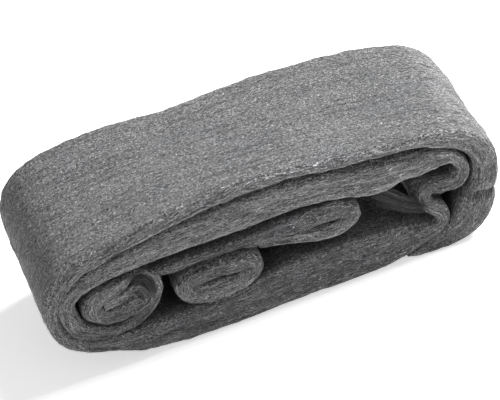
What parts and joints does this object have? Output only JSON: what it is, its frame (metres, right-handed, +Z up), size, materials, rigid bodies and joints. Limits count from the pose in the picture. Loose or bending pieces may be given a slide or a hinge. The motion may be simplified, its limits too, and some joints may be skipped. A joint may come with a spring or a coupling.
{
  "type": "steel wool bundle",
  "caption": "Ribbon of fine steel wool folded and rolled into a flattened bundle, for scouring, rubbing down and polishing.",
  "frame": {"origin": "middle of the pressed underside, under the centre of the bundle", "axes": "+X along the bundle towards the crumpled end, +Y across it, +Z up from the face it lies on"},
  "size_m": [0.2524, 0.095, 0.0868],
  "materials": {
    "steel_wool": "fine matted steel fibre"
  },
  "bodies": {
    "root": {"wool_ribbon": "steel_wool"}
  },
  "joints": []
}
